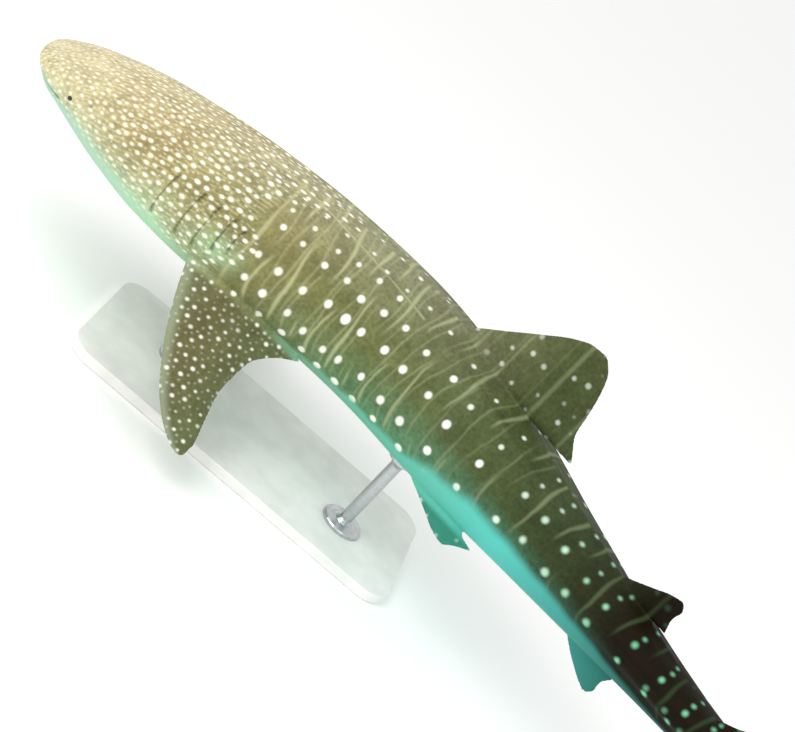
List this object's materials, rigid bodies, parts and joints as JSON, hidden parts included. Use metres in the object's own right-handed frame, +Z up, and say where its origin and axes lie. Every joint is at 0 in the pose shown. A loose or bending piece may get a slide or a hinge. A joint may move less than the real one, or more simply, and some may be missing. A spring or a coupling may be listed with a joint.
{
  "type": "whale shark, still life-size model",
  "caption": "Life-size whale shark of 6 m, swimming with its tail swung to its left, with pale spots and bars on olive brown, held by a low display stand.",
  "frame": {"origin": "centre of the underside of the stand's base, below the balance point of the animal", "axes": "+Z up; -X towards the snout along the head's axis; -Y towards the animal's left side, to which its tail swings"},
  "size_m": [5.7028, 2.5519, 2.102],
  "materials": {
    "head_skin": "satin",
    "trunk_skin": "satin",
    "tail_skin": "satin",
    "fin_skin": "satin",
    "eye": "gloss",
    "stand_plate": "matte",
    "stand_steel": "satin"
  },
  "bodies": {
    "root": {"head": "head_skin", "trunk": "trunk_skin", "tail": "tail_skin", "caudal_fin_upper": "tail_skin", "caudal_fin_lower": "tail_skin", "dorsal_fin_first": "fin_skin", "dorsal_fin_second": "tail_skin", "anal_fin": "fin_skin", "pectoral_fin_left": "fin_skin", "pectoral_fin_right": "fin_skin", "pelvic_fin_left": "fin_skin", "pelvic_fin_right": "fin_skin", "eye_left": "eye", "eye_right": "eye", "stand_base": "stand_plate", "stand_rod_front": "stand_steel", "stand_rod_rear": "stand_steel"}
  },
  "joints": []
}
